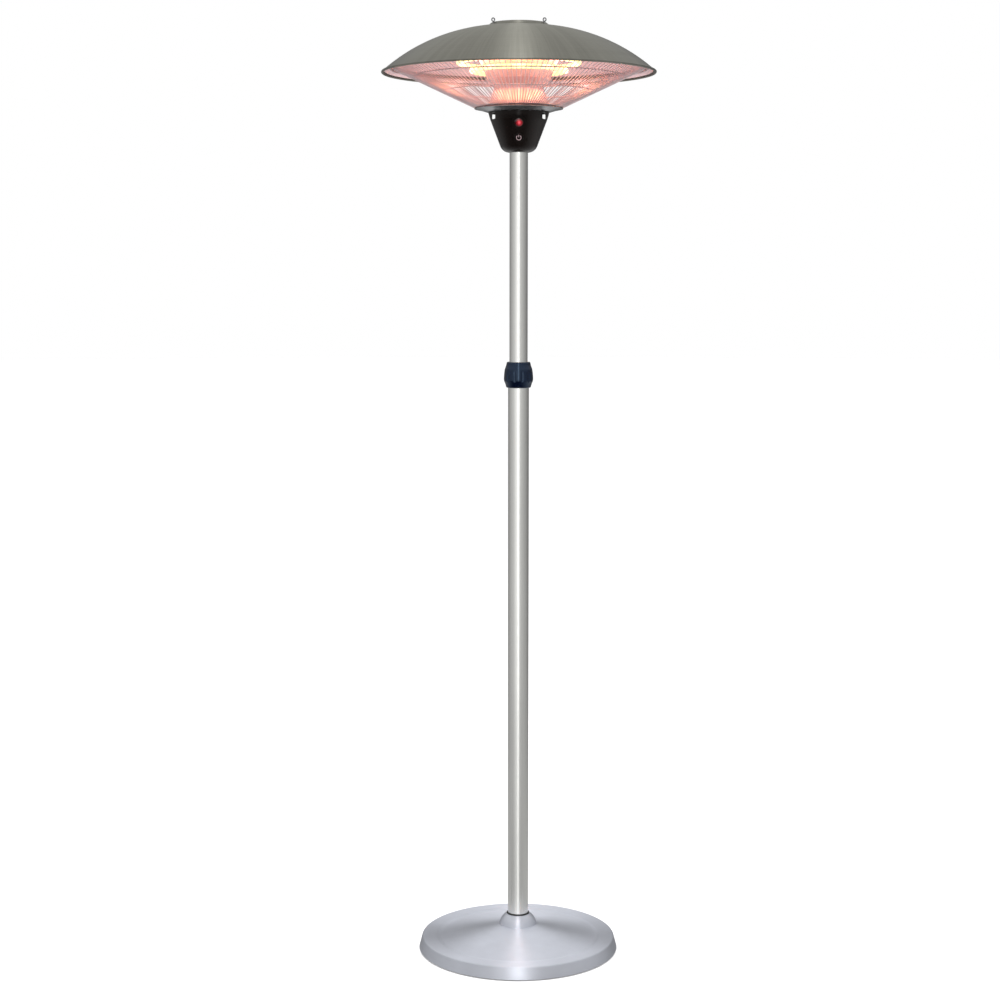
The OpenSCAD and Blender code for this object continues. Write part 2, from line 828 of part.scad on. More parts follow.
module ceiling_reflector() {
    color("mistyrose") head() spun(concat(
        [[rod_hole_r, ceiling_h], [ceiling_flat_r, ceiling_h]],
        arc(ceiling_arc_c, ceiling_arc_r, 90, acos((ceiling_end_r - ceiling_arc_c[0]) / ceiling_arc_r), 12)
    ), reflector_t);
}

module lamp_arc(i, r) {
    gap = lamp_gap_angle[i];
    translate([0, 0, lamp_h[i]]) rotate([0, 0, 90 + gap]) rotate_extrude(angle = 360 - 2 * gap)
        translate([lamp_ring_r[i], 0]) circle(r = r, $fn = 24);
}

module lamp_tubes() {
    color("khaki", 0.6) head() for (i = [0, 1])
        difference() {
            lamp_arc(i, lamp_r);
            lamp_arc(i, lamp_r - 1);
        }
}

module lamp_filaments() {
    color("gold") head() for (i = [0, 1])
        lamp_arc(i, 1.2);
}

module lamp_end_caps() {
    half = lamp_r + end_cap_wall;
    color("ivory") head() for (i = [0, 1], side = [-1, 1])
        translate([0, 0, lamp_h[i]]) rotate([0, 0, 90 + side * lamp_gap_angle[i]])
            translate([lamp_ring_r[i], 0, 0]) rotate([side * 90, 0, 0])
                translate([-half, -half, seat]) cube([2 * half, 2 * half, end_cap_l]);
}

// A wire stalk from the reflector that ends in an open ring around the lamp tube
module lamp_clips() {
    stalk_r = 1;
    from = [84.5, 77.3];
    color("silver") head() for (i = [0, 1])
        around(clip_n, 0, 45) {
            translate([from[i], 0, lamp_h[i]]) rotate([0, 90, 0])
                cylinder(r = stalk_r, h = lamp_ring_r[i] - lamp_r - 0.6 - from[i], $fn = 16);
            translate([lamp_ring_r[i], 0, lamp_h[i]]) rotate([90, 0, 0])
                pipe(lamp_r + 1, lamp_r + 0.1, -1, 1);
        }
}

// Each lead rises from the terminal block, turns at the reflector and runs out to a lamp end
module lamp_leads() {
    color("white") head() for (i = [0, 1], side = [-1, 1])
        translate([side * lead_x(i), lead_y, 0]) {
            translate([0, 0, carrier_top + 8]) cylinder(r = lead_r, h = lamp_h[i] - carrier_top - 8);
            translate([0, 0, lamp_h[i]]) sphere(r = lead_r);
            translate([0, 0, lamp_h[i]]) rotate([-90, 0, 0])
                cylinder(r = lead_r, h = lead_end_y(i) - lead_y);
        }
}

// ---- Head: shade ----
sheet_shade_t = 0.8;
rim_bead_r = 2.6;
rim_r = shade_d / 2;
shade_end = [rim_r - 2.4, 173.7];
lip_in = [281.8, 181.6];
lip_out = [290.3, 174.8];
cap_top_h = 277.4;
cap_top_r = 60.5;
cap_foot_r = 69;
cap_t = 0.8;
// The cap's foot clears the crown plate by its own sheet thickness
cap_lift = cap_t - 0.05;
eyelet_ring_r = 63.5;
eyelet_wire_r = 1.3;
eyelet_loop_r = 3.5;
eyelet_top_h = 286.1;
rod_low_h = 80;

// Centre of the circle of radius r through a and b that lies below them
function arc_centre(a, b, r) =
    let (mid = (a + b) / 2, half = norm(b - a) / 2)
        mid + left_of(b, a) * sqrt(r * r - half * half);
crown_edge = [crown_r, crown_h];
shade_centre = arc_centre(crown_edge, shade_end, shade_arc_r);
function angle_to(p) = atan2(p[1] - shade_centre[1], p[0] - shade_centre[0]);

module centre_rod() {
    color("silver") head() {
        translate([0, 0, rod_low_h]) cylinder(r = 4, h = cap_top_h - 2 - rod_low_h);
        translate([0, 0, pan_h - 6.5]) cylinder(d = 15, h = 6.5, $fn = 6);
        pipe(6, 3.9, pan_h + pan_t, ceiling_h - 0.05);
        pipe(6, 3.9, ceiling_h + reflector_t + 0.05, crown_h - sheet_shade_t - 0.05);
        translate([0, 0, crown_h + 0.05]) cylinder(d = 15, h = 4.5, $fn = 6);
    }
}

module shade_dome() {
    color("gray") head() union() {
        spun(reversed(concat(
            [[rod_hole_r, crown_h], crown_edge],
            arc(shade_centre, shade_arc_r, angle_to(crown_edge), angle_to(shade_end), 28)
        )), sheet_shade_t);
        wire_ring(rim_r - rim_bead_r, rim_bead_r, shade_end[1] - 1);
    }
}

// The polished ring inside the rim hides the guard's edge
module shade_lip() {
    color("mistyrose") head() spun([lip_in, lip_out], reflector_t);
}

module top_cap() {
    color("gray") head() difference() {
        spun([[cap_foot_r, crown_h + cap_lift], [cap_top_r, cap_top_h], [0.01, cap_top_h]], cap_t);
        around(eyelet_count, eyelet_ring_r, rod_start)
            translate([0, 0, crown_h - past]) cylinder(r = eyelet_wire_r + 0.1, h = 12);
    }
}

module eyelets() {
    color("dimgray") head() around(eyelet_count, eyelet_ring_r, rod_start) {
        translate([0, 0, eyelet_top_h - eyelet_loop_r - eyelet_wire_r]) rotate([90, 0, 0])
            rotate_extrude() translate([eyelet_loop_r, 0]) circle(r = eyelet_wire_r, $fn = 24);
        translate([0, 0, crown_h + 0.05])
            cylinder(r = eyelet_wire_r, h = eyelet_top_h - 2 * eyelet_loop_r - eyelet_wire_r - crown_h);
        translate([0, 0, crown_h + 0.05]) cylinder(r = 3, h = 1.5);
    }
}

base_cover();
base_weight();
base_bottom_plate();
base_feet();
base_plate_screws();
pole_socket();
pole_bolt();
pole_washer();
pole_seal_ring();
lower_tube();
upper_guide_bush();
collet_sleeve();
lock_collar();
lower_guide_bush();
upper_tube();
mast_end_plug();
guide_circlip();
head_bracket();
bracket_screws();
tie_rods();
rod_spacers();
tie_rod_nuts();
control_housing();
housing_screws();
window_bezel();
receiver_window();
status_led();
control_board();
board_screws();
relays();
power_switch();
power_button();
power_symbol();
carrier_plate();
terminal_block();
tilt_switch();
thermal_cutout();
gland_body();
gland_cap();
gland_locknut();
guard_pan();
guard_wires();
guard_ring_bottom();
guard_ring_inner();
guard_ring_outer();
guard_ring_top();
guard_clips();
lower_reflector();
upper_reflector();
ceiling_reflector();
lamp_tubes();
lamp_filaments();
lamp_end_caps();
lamp_clips();
lamp_leads();
centre_rod();
shade_dome();
shade_lip();
top_cap();
eyelets();
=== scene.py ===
"""The looks of a free-standing electric patio heater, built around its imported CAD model.

Heights named *_h are above the head's datum plane, as in the CAD source; *_z are above the floor.
Outlines are lists of (radius, height) in millimetres and are turned round the pole's axis.
"""

import json
import math

import bpy
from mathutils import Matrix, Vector


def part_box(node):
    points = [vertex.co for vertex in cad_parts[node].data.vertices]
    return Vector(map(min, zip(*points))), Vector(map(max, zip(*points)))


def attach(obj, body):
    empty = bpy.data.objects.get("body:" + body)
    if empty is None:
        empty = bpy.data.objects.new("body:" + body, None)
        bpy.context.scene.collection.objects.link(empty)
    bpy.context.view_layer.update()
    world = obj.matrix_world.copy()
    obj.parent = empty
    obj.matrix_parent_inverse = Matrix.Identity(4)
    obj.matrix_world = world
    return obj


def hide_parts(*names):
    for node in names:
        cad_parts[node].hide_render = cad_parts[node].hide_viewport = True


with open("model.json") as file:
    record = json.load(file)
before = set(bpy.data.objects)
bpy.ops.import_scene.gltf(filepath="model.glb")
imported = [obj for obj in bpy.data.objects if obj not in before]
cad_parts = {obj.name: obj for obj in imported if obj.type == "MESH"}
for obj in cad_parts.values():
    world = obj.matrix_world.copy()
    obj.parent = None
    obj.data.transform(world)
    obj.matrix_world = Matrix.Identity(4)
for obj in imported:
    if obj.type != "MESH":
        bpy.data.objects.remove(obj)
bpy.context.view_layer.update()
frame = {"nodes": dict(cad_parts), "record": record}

MM = 0.001
HOUSING_FOOT_H = 2.2
HEAD_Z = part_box("control_housing")[0].z / MM - HOUSING_FOOT_H
CROWN_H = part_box("shade_dome")[1].z / MM - HEAD_Z
RIM_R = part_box("shade_dome")[1].x / MM
PAN_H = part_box("guard_pan")[0].z / MM - HEAD_Z
BASE_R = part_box("base_cover")[1].x / MM
TURNS = 240
CRISP_ANGLE = 32
SLOTS = {part["node"]: part["material_slot"] for part in frame["record"]["subparts"]}
BODIES = {node: body for body, nodes in frame["record"]["behaviour"]["bodies"].items() for node in nodes}

# The control housing's wall, from the datum plane to its top.
WALL_LOW_R = 34.3
WALL_TOP_R = 68
WALL_H = 88.3
WALL_ANGLE = math.degrees(math.atan((WALL_TOP_R - WALL_LOW_R) / WALL_H))

# The cone that the guard's wires lie on.
GUARD_LOW_R = 96
GUARD_LOW_H = PAN_H + 9.53
GUARD_TOP_R = 278.5
GUARD_ANGLE = math.radians(25.16)
WIRE_R = 0.9
WIRE_COUNT = 144

# A wire's domed end, from its tip: how far out and how wide, as parts of the wire's radius.
WIRE_DOME = ((0.9, 0.35), (0.6, 0.8))

# Each ring lamp's radius, its height and half of its gap in degrees.
LAMPS = ((130, 194, 9), (101.6, 177, 8))
REFLECTOR_SHEET = 0.8


# ---- Outlines ------------------------------------------------------------------------------------

def arc(centre, radius, start, end, steps):
    """Points along an arc, in degrees anticlockwise from the radius axis."""
    angles = [math.radians(start + (end - start) * i / steps) for i in range(steps + 1)]
    return [(centre[0] + radius * math.cos(a), centre[1] + radius * math.sin(a)) for a in angles]


def filleted(points, radius, steps=5):
    """The outline with every inner corner rounded off to a radius, or to what its sides have room for."""
    nearly_straight, most_of_a_side = math.radians(88), 0.45
    made = [points[0]]
    for before, corner, after in zip(points, points[1:], points[2:]):
        a = Vector(before) - Vector(corner)
        b = Vector(after) - Vector(corner)
        half = a.angle(b) / 2
        if half > nearly_straight:
            made.append(corner)
            continue
        back = min(radius / math.tan(half), a.length * most_of_a_side, b.length * most_of_a_side)
        start = Vector(corner) + a.normalized() * back
        end = Vector(corner) + b.normalized() * back
        for i in range(steps + 1):
            t = i / steps
            made.append(tuple(start.lerp(Vector(corner), t).lerp(Vector(corner).lerp(end, t), t)))
    return made + [points[-1]]


def moved_left(points, distance):
    """The outline moved to its left, with mitred corners."""
    def left(a, b):
        d = (Vector(b) - Vector(a)).normalized()
        return Vector((-d.y, d.x))

    sides = [left(a, b) for a, b in zip(points, points[1:])]
    sides = [sides[0]] + sides + [sides[-1]]
    corners = zip(points, sides, sides[1:])
    return [tuple(Vector(p) + distance * (a + b) / (1 + a.dot(b))) for p, a, b in corners]


def sheet(points, thickness):
    """A closed outline: the open one, and back along it at the sheet's thickness to its left."""
    return points + moved_left(points, thickness)[::-1]


def at_head(points):
    return [(r, h + HEAD_Z) for r, h in points]


# ---- Meshes --------------------------------------------------------------------------------------

def add_mesh(name, points, faces, sharp=CRISP_ANGLE):
    """A smooth mesh object, its edges sharper than an angle kept crisp. Points are in millimetres."""
    mesh = bpy.data.meshes.new(name)
    mesh.from_pydata([(x * MM, y * MM, z * MM) for x, y, z in points], [], faces)
    mesh.validate()
    mesh.polygons.foreach_set("use_smooth", [True] * len(mesh.polygons))
    mesh.set_sharp_from_angle(angle=math.radians(sharp))
    piece = bpy.data.objects.new(name, mesh)
    bpy.context.scene.collection.objects.link(piece)
    return piece


def turned(outline, turns=TURNS, shape=None):
    """Vertices and faces of a closed outline turned round Z; shape(r, z, angle) can change a radius."""
    count = len(outline)
    points, faces = [], []
    for i in range(turns):
        a = 2 * math.pi * i / turns
        radii = [shape(r, z, a) if shape else r for r, z in outline]
        points += [(r * math.cos(a), r * math.sin(a), z) for r, (_, z) in zip(radii, outline)]
    for i in range(turns):
        here, there = i * count, (i + 1) % turns * count
        for j in range(count):
            k = (j + 1) % count
            faces.append((here + j, there + j, there + k, here + k))
    return points, faces


def lathe(name, outline, turns=TURNS, sharp=CRISP_ANGLE):
    return add_mesh(name, *turned(outline, turns), sharp)


def ring_outline(radius, height, wire, steps=16):
    return arc((radius, height), wire, 0, 360, steps)[:-1]


def tube(points, radius, sides):
    """Vertices and faces of a round wire along points, with domed ends."""
    line = [Vector(p) for p in points]
    first = (line[1] - line[0]).normalized()
    last = (line[-1] - line[-2]).normalized()
    line = [line[0] - first * radius * out for out, _ in WIRE_DOME] + line
    line += [line[-1] + last * radius * out for out, _ in WIRE_DOME[::-1]]
    dome = [radius * wide for _, wide in WIRE_DOME]
    radii = dome + [radius] * len(points) + dome[::-1]
    made, faces = [], []
    count = len(line)
    up = Vector((0, 0, 1))
    for i, p in enumerate(line):
        before = line[max(i - 1, 0)]
        after = line[min(i + 1, count - 1)]
        along = (after - before).normalized()
        side = along.cross(up).normalized()
        up = side.cross(along).normalized()
        for j in range(sides):
            a = 2 * math.pi * j / sides
            made.append(p + radii[i] * (side * math.cos(a) + up * math.sin(a)))
    for i in range(count - 1):
        here, there = i * sides, (i + 1) * sides
        for j in range(sides):
            k = (j + 1) % sides
            faces.append((here + j, here + k, there + k, there + j))
    faces.append(tuple(range(sides))[::-1])
    faces.append(tuple(range((count - 1) * sides, count * sides)))
    return [tuple(p) for p in made], faces


def joined(parts):
    """Vertices and faces of several parts as one."""
    points, faces = [], []
    for some_points, some_faces in parts:
        faces += [tuple(i + len(points) for i in f) for f in some_faces]
        points += some_points
    return points, faces


# ---- Materials -----------------------------------------------------------------------------------

# Where most of a noise texture's values lie.
NOISE_LOW = 0.3
NOISE_HIGH = 0.7


class Paint:
    """A material's node tree, with short calls for the nodes that the materials here share."""

    def __init__(self, name, colour, metallic, roughness, **sockets):
        self.material = bpy.data.materials.new(name)
        self.material.use_nodes = True
        self.tree = self.material.node_tree
        self.shader = self.tree.nodes["Principled BSDF"]
        self.shader.inputs["Base Color"].default_value = (*colour, 1)
        self.shader.inputs["Metallic"].default_value = metallic
        self.shader.inputs["Roughness"].default_value = roughness
        for socket, value in sockets.items():
            self.shader.inputs[socket.replace("_", " ")].default_value = value
        self.colour = colour

    def node(self, kind, **settings):
        node = self.tree.nodes.new("ShaderNode" + kind)
        for key, value in settings.items():
            setattr(node, key, value)
        return node

    def link(self, source, target):
        self.tree.links.new(source, target)

    def place(self, scale=(1, 1, 1)):
        """Object coordinates, scaled: about how many grains of a noise fit in a metre along each axis."""
        mapping = self.node("Mapping")
        mapping.inputs["Scale"].default_value = scale
        self.link(self.node("TexCoord").outputs["Object"], mapping.inputs["Vector"])
        return mapping.outputs["Vector"]

    def round_place(self, turn, out, up):
        """Coordinates round the Z axis (radians), out from it and along it (metres), each scaled."""
        split = self.node("SeparateXYZ")
        self.link(self.node("TexCoord").outputs["Object"], split.inputs[0])
        angle = self.node("Math", operation="ARCTAN2")
        self.link(split.outputs["Y"], angle.inputs[0])
        self.link(split.outputs["X"], angle.inputs[1])
        flat = self.node("CombineXYZ")
        self.link(split.outputs["X"], flat.inputs["X"])
        self.link(split.outputs["Y"], flat.inputs["Y"])
        radius = self.node("VectorMath", operation="LENGTH")
        self.link(flat.outputs[0], radius.inputs[0])
        place = self.node("CombineXYZ")
        for source, scale, axis in ((angle.outputs[0], turn, "X"), (radius.outputs["Value"], out, "Y"),
                                    (split.outputs["Z"], up, "Z")):
            scaled = self.node("Math", operation="MULTIPLY")
            self.link(source, scaled.inputs[0])
            scaled.inputs[1].default_value = scale
            self.link(scaled.outputs[0], place.inputs[axis])
        return place.outputs[0]

    def noise(self, place, detail, scale=1, roughness=0.55):
        noise = self.node("TexNoise")
        noise.inputs["Scale"].default_value = scale
        noise.inputs["Detail"].default_value = detail
        noise.inputs["Roughness"].default_value = roughness
        self.link(place, noise.inputs["Vector"])
        return noise.outputs["Fac"]

    def ranged(self, source, low, high, start=NOISE_LOW, end=NOISE_HIGH):
        """The source between start and end, spread from low to high."""
        ranged = self.node("MapRange")
        self.link(source, ranged.inputs["Value"])
        for socket, value in (("From Min", start), ("From Max", end), ("To Min", low), ("To Max", high)):
            ranged.inputs[socket].default_value = value
        return ranged.outputs["Result"]

    def colours(self, source, *stops):
        """Colours along the source: each stop is (position, colour)."""
        ramp = self.node("ValToRGB")
        elements = ramp.color_ramp.elements
        while len(elements) < len(stops):
            elements.new(0.5)
        for element, (position, colour) in zip(elements, stops):
            element.position = position
            element.color = (*colour, 1)
        self.link(source, ramp.inputs[0])
        return ramp.outputs["Color"]

    def shades(self, source, spread):
        """The base colour varied lighter and darker along the source."""
        dark = [c * (1 - spread) for c in self.colour]
        light = [min(1, c * (1 + spread)) for c in self.colour]
        varied = self.colours(source, (NOISE_LOW, dark), (NOISE_HIGH, light))
        self.link(varied, self.shader.inputs["Base Color"])

    def rough(self, source, low, high):
        self.link(self.ranged(source, low, high), self.shader.inputs["Roughness"])

    def bumps(self, *layers):
        """Each layer is (height, depth in millimetres), laid over the one before."""
        normal = None
        for height, depth in layers:
            bump = self.node("Bump")
            bump.inputs["Distance"].default_value = depth * MM
            self.link(height, bump.inputs["Height"])
            if normal:
                self.link(normal, bump.inputs["Normal"])
            normal = bump.outputs["Normal"]
        self.link(normal, self.shader.inputs["Normal"])

    def spun(self):
        """Gloss spreads across grooves that run round the Z axis."""
        quarter_turn = 0.25
        self.shader.inputs["Anisotropic Rotation"].default_value = quarter_turn
        tangent = self.node("Tangent", direction_type="RADIAL", axis="Z")
        self.link(tangent.outputs["Tangent"], self.shader.inputs["Tangent"])


def tube_steel():
    p = Paint("tube_steel", (0.83, 0.83, 0.80), 1, 0.27)
    grain = p.noise(p.round_place(60, 1, 0.6), 4, scale=9)
    cloud = p.noise(p.place((6, 6, 2)), 2, scale=1.4)
    p.shades(cloud, 0.04)
    p.rough(grain, 0.21, 0.33)
    p.bumps((grain, 0.02))
    return p.material


def spun_aluminium():
    p = Paint("spun_aluminium", (0.79, 0.815, 0.89), 1, 0.5, Anisotropic=0.9)
    rings = p.noise(p.round_place(0.5, 900, 900), 4)
    cloud = p.noise(p.place((9, 9, 9)), 3)
    p.shades(cloud, 0.06)
    p.rough(rings, 0.44, 0.56)
    p.bumps((rings, 0.012))
    p.spun()
    return p.material


def shade_steel():
    p = Paint("shade_steel", (0.264, 0.260, 0.226), 1, 0.45, Anisotropic=0.88)
    rings = p.noise(p.round_place(0.8, 1200, 1200), 4)
    # Painted highlight: the colour is lighter and darker in radial streaks round the crown, for the gloss
    # streaks of spun metal.
    painted_highlight_streaks = p.noise(p.round_place(22, 2, 2), 6, roughness=0.75)
    p.shades(painted_highlight_streaks, 0.13)
    p.rough(rings, 0.38, 0.52)
    p.bumps((rings, 0.012))
    p.spun()
    return p.material


def polished_aluminium():
    # The pink in this colour is painted light: the warm glow of the lamps on the reflectors and the lip.
    p = Paint("polished_aluminium", (0.85, 0.60, 0.61), 0.6, 0.36)
    smear = p.noise(p.round_place(14, 20, 20), 4)
    p.shades(smear, 0.05)
    p.rough(smear, 0.3, 0.44)
    p.bumps((smear, 0.03))
    return p.material


def zinc_steel():
    p = Paint("zinc_steel", (0.60, 0.61, 0.63), 1, 0.35)
    spangle = p.noise(p.place((400, 400, 400)), 2)
    p.shades(spangle, 0.12)
    p.rough(spangle, 0.26, 0.48)
    p.bumps((spangle, 0.02))
    return p.material


def painted_steel(name, colour, roughness):
    p = Paint(name, colour, 0.85, roughness, Coat_Weight=0.3, Coat_Roughness=0.12)
    orange_peel = p.noise(p.place((700, 700, 700)), 2)
    cloud = p.noise(p.place((30, 30, 30)), 3)
    p.shades(cloud, 0.12)
    p.rough(cloud, roughness - 0.06, roughness + 0.08)
    p.bumps((orange_peel, 0.015))
    return p.material


def plastic(name, colour, roughness, grain_depth, gloss=0.5, shine=(1, 1, 1)):
    p = Paint(name, colour, 0, roughness, Specular_IOR_Level=gloss, Specular_Tint=(*shine, 1))
    grain = p.noise(p.place((900, 900, 900)), 2)
    flow = p.noise(p.place((25, 25, 25)), 3)
    p.shades(flow, 0.10)
    p.rough(flow, roughness * 0.85, roughness * 1.2)
    p.bumps((grain, grain_depth), (flow, 0.05))
    return p.material


def concrete():
    p = Paint("concrete", (0.42, 0.41, 0.39), 0, 0.92)
    sand = p.noise(p.place((600, 600, 600)), 4)
    stain = p.noise(p.place((18, 18, 18)), 5)
    pits = p.node("TexVoronoi")
    pits.inputs["Scale"].default_value = 1
    p.link(p.place((260, 260, 260)), pits.inputs["Vector"])
    p.shades(stain, 0.18)
    p.rough(sand, 0.82, 0.98)
    p.bumps((pits.outputs["Distance"], 0.4), (sand, 0.25))
    return p.material


def rubber():
    p = Paint("rubber", (0.02, 0.02, 0.021), 0, 0.7)
    grain = p.noise(p.place((500, 500, 500)), 3)
    dust = p.noise(p.place((60, 60, 60)), 4)
    p.shades(dust, 0.35)
    p.rough(grain, 0.6, 0.85)
    p.bumps((grain, 0.05))
    return p.material


def window_red():
    """Tinted plastic with painted light: a soft glowing spot near its middle stands for the lamp behind
    it, and the colour is painted lighter round the spot and dark towards the edge.
    """
    p = Paint("window_red", (0.32, 0.012, 0.02), 0, 0.09,
              Transmission_Weight=0.35, IOR=1.49, Coat_Weight=0.4, Emission_Strength=0.7)
    painted_glow_place = (0.001, 0, 0.002)
    painted_glow_full_r, painted_glow_end_r = 0.0005, 0.0085
    flow = p.noise(p.place((90, 90, 90)), 2)
    spot = p.node("VectorMath", operation="DISTANCE")
    p.link(p.place(), spot.inputs[0])
    spot.inputs[1].default_value = painted_glow_place
    painted_glow_near = p.ranged(spot.outputs["Value"], 1, 0, painted_glow_full_r, painted_glow_end_r)
    # Painted glow and shade: lighter colour and emission near the spot, darker towards the edge, for the
    # lamp's light behind the window.
    painted_glow_tint = p.colours(painted_glow_near, (0.05, (0.03, 0.002, 0.003)), (0.5, (0.30, 0.012, 0.02)),
                     (1, (0.5, 0.03, 0.045)))
    glow = p.colours(painted_glow_near, (0, (0, 0, 0)), (0.5, (0.15, 0.002, 0.006)), (1, (0.80, 0.15, 0.19)))
    p.link(painted_glow_tint, p.shader.inputs["Base Color"])
    p.link(glow, p.shader.inputs["Emission Color"])
    p.rough(flow, 0.06, 0.13)
    p.bumps((flow, 0.04))
    return p.material


def glowing(name, colour, strength, alpha=1.0, roughness=0.2):
    """Lit from inside: its light is redder where the noise is low."""
    p = Paint(name, colour, 0, roughness,
              Emission_Color=(*colour, 1), Emission_Strength=strength, Alpha=alpha)
    redder = (0.95, 0.86, 0.72)
    heat = p.noise(p.place((120, 120, 120)), 2)
    p.shades(heat, 0.08)
    p.rough(heat, roughness * 0.8, roughness * 1.3)
    dark = [c * s for c, s in zip(colour, redder)]
    light = p.colours(heat, (NOISE_LOW, dark), (NOISE_HIGH, colour))
    p.link(light, p.shader.inputs["Emission Color"])
    return p.material


def ceramic():
    p = Paint("ceramic", (0.80, 0.77, 0.70), 0, 0.6)
    grain = p.noise(p.place((900, 900, 900)), 3)
    scorch = p.noise(p.place((40, 40, 40)), 4)
    p.shades(scorch, 0.12)
    p.rough(grain, 0.5, 0.75)
    p.bumps((grain, 0.03))
    return p.material


def board():
    p = Paint("board", (0.02, 0.16, 0.06), 0, 0.35, Coat_Weight=0.4)
    tracks = p.node("TexBrick")
    tracks.inputs["Scale"].default_value = 1
    tracks.inputs["Mortar Size"].default_value = 0.12
    p.link(p.place((240, 240, 240)), tracks.inputs["Vector"])
    tone = p.noise(p.place((80, 80, 80)), 3)
    greens = p.colours(tracks.outputs["Fac"], (0.2, (0.03, 0.24, 0.09)), (0.6, (0.02, 0.15, 0.06)))
    p.link(greens, p.shader.inputs["Base Color"])
    p.rough(tone, 0.28, 0.42)
    p.bumps((tracks.outputs["Fac"], 0.03))
    return p.material


def sleeve():
    p = Paint("lead_sleeve", (0.80, 0.79, 0.74), 0, 0.8)
    weave = p.node("TexWave", wave_type="BANDS", bands_direction="DIAGONAL")
    weave.inputs["Scale"].default_value = 900
    weave.inputs["Distortion"].default_value = 1.5
    p.link(p.place(), weave.inputs["Vector"])
    soot = p.noise(p.place((60, 60, 60)), 3)
    p.shades(soot, 0.12)
    p.rough(soot, 0.7, 0.9)
    p.bumps((weave.outputs["Fac"], 0.12))
    return p.material


# The CAD file's own materials step aside, so that the new ones can have plain names.
IMPORTED = list(bpy.data.materials)
for number, material in enumerate(IMPORTED):
    material.name = f"imported_{number}"


def make_materials():
    """One material for each of the record's slots."""
    navy, navy_shine = (0.0004, 0.0015, 0.009), (0.5, 0.72, 1)
    return {
        "spun_aluminium": spun_aluminium(),
        "tube_steel": tube_steel(),
        "shade_steel": shade_steel(),
        "polished_aluminium": polished_aluminium(),
        "zinc_steel": zinc_steel(),
        # The grey in the guard's colour is the steel's own; the pink in it is painted light, the lamps'
        # warm glow on the wires.
        "guard_steel": painted_steel("guard_steel", (0.70, 0.55, 0.56), 0.34),
        "pan_steel": painted_steel("pan_steel", (0.24, 0.242, 0.25), 0.24),
        "band_steel": painted_steel("band_steel", (0.02, 0.018, 0.03), 0.3),
        "concrete": concrete(),
        "rubber": rubber(),
        "collar_plastic": plastic("collar_plastic", navy, 0.12, 0.004, gloss=0.7, shine=navy_shine),
        "housing_plastic": plastic("housing_plastic", (0.005, 0.0032, 0.0026), 0.16, 0.003, gloss=0.3),
        "nylon": plastic("nylon", (0.78, 0.77, 0.73), 0.5, 0.02),
        "black_nylon": plastic("black_nylon", (0.018, 0.018, 0.02), 0.45, 0.03),
        "window_red": window_red(),
        "led_red": glowing("led_red", (1.0, 0.06, 0.08), 5.0),
        "symbol": plastic("symbol", (0.40, 0.29, 0.30), 0.5, 0.01),
        "board": board(),
        "relay": plastic("relay", (0.02, 0.07, 0.38), 0.35, 0.02),
        "ceramic": ceramic(),
        "lamp_glass": glowing("lamp_glass", (1.0, 0.89, 0.40), 1.15, alpha=0.8, roughness=0.08),
        "filament": glowing("filament", (1.0, 0.78, 0.36), 3.0, roughness=0.5),
        "lead_sleeve": sleeve(),
    }


MATERIALS = make_materials()


def cover(piece, *nodes):
    """A new piece takes the material, the slot and the body of the CAD nodes that it stands for."""
    slot = SLOTS[nodes[0]]
    piece.data.materials.append(MATERIALS[slot])
    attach(piece, BODIES[nodes[0]])
    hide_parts(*nodes)
    return piece


def paint_cad_nodes():
    """Every CAD node takes the material of its slot; the imported plain ones are taken out."""
    for name, node in frame["nodes"].items():
        for place in node.material_slots:
            place.material = MATERIALS[SLOTS[name]]
    for material in IMPORTED:
        if not material.users:
            bpy.data.materials.remove(material)


# ---- Base and pole -------------------------------------------------------------------------------

def make_base():
    """The cover's outline runs from the foot of its wall over the flat ring and the plate to the hub."""
    cover_sheet = 1
    outline = [(BASE_R, 3)] + arc((BASE_R - 10.5, 25.5), 4.5, 12, 90, 8) + [(188, 30)]
    outline += arc((176, 48.4), 20, -66.9, -101, 10)
    outline += filleted([(150, 34.2), (42, 55), (41.6, 59)], radius=1.4)
    outline += arc((11, 51.5), 31.2, 16, 64, 20)
    cover(lathe("base_shell", sheet(outline, cover_sheet), sharp=40), "base_cover")
    seal = [(23.03, 79.65), (25.7, 79.65), (25.5, 81.2), (24.4, 82.2), (23.03, 82.5)]
    cover(lathe("seal_ring", seal, turns=96, sharp=60), "pole_seal_ring")


def make_tubes():
    wall, chamfer = 1.2, 0.35
    for node in ("lower_tube", "upper_tube"):
        low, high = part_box(node)
        bottom, top = low.z / MM, high.z / MM
        radius = high.x / MM
        bore = radius - wall
        outline = [(bore, bottom + chamfer), (bore + chamfer, bottom), (radius - chamfer, bottom),
                   (radius, bottom + chamfer), (radius, top - chamfer), (radius - chamfer, top),
                   (bore + chamfer, top), (bore, top - chamfer)]
        cover(lathe("pole_" + node, outline, turns=160), node)


